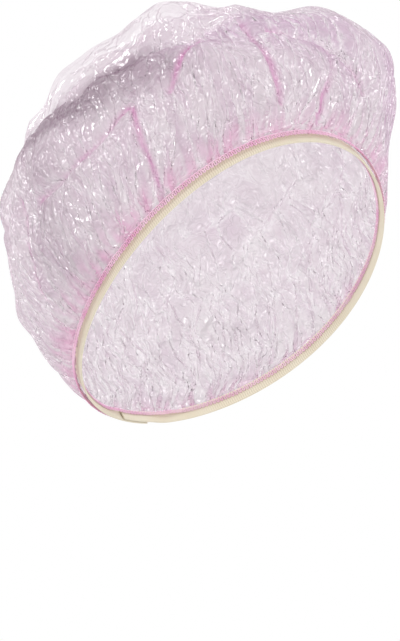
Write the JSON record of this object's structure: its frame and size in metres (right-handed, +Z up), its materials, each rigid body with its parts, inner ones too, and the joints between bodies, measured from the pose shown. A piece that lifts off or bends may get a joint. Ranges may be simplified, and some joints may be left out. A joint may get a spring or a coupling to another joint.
{
  "type": "shower cap",
  "caption": "Puffed round cap of thin see-through film, gathered along its edge onto an elastic tape by an overlock seam, worn to keep hair dry.",
  "frame": {"origin": "centre of the oval head opening, at the lower edge of the elastic tape", "axes": "+Z up as the cap is worn, -Y towards the wearer's forehead, +X towards the wearer's left; the opening's plane rises from the nape to the forehead"},
  "size_m": [0.2071, 0.2037, 0.2183],
  "materials": {
    "film": "crinkled glossy see-through film, pale pink",
    "elastic_tape": "knitted elastic tape, cream",
    "thread": "textured polyester sewing thread, pink"
  },
  "bodies": {
    "root": {"crown_film": "film", "elastic_band": "elastic_tape", "needle_thread": "thread", "upper_looper_thread": "thread", "lower_looper_thread": "thread"}
  },
  "joints": []
}
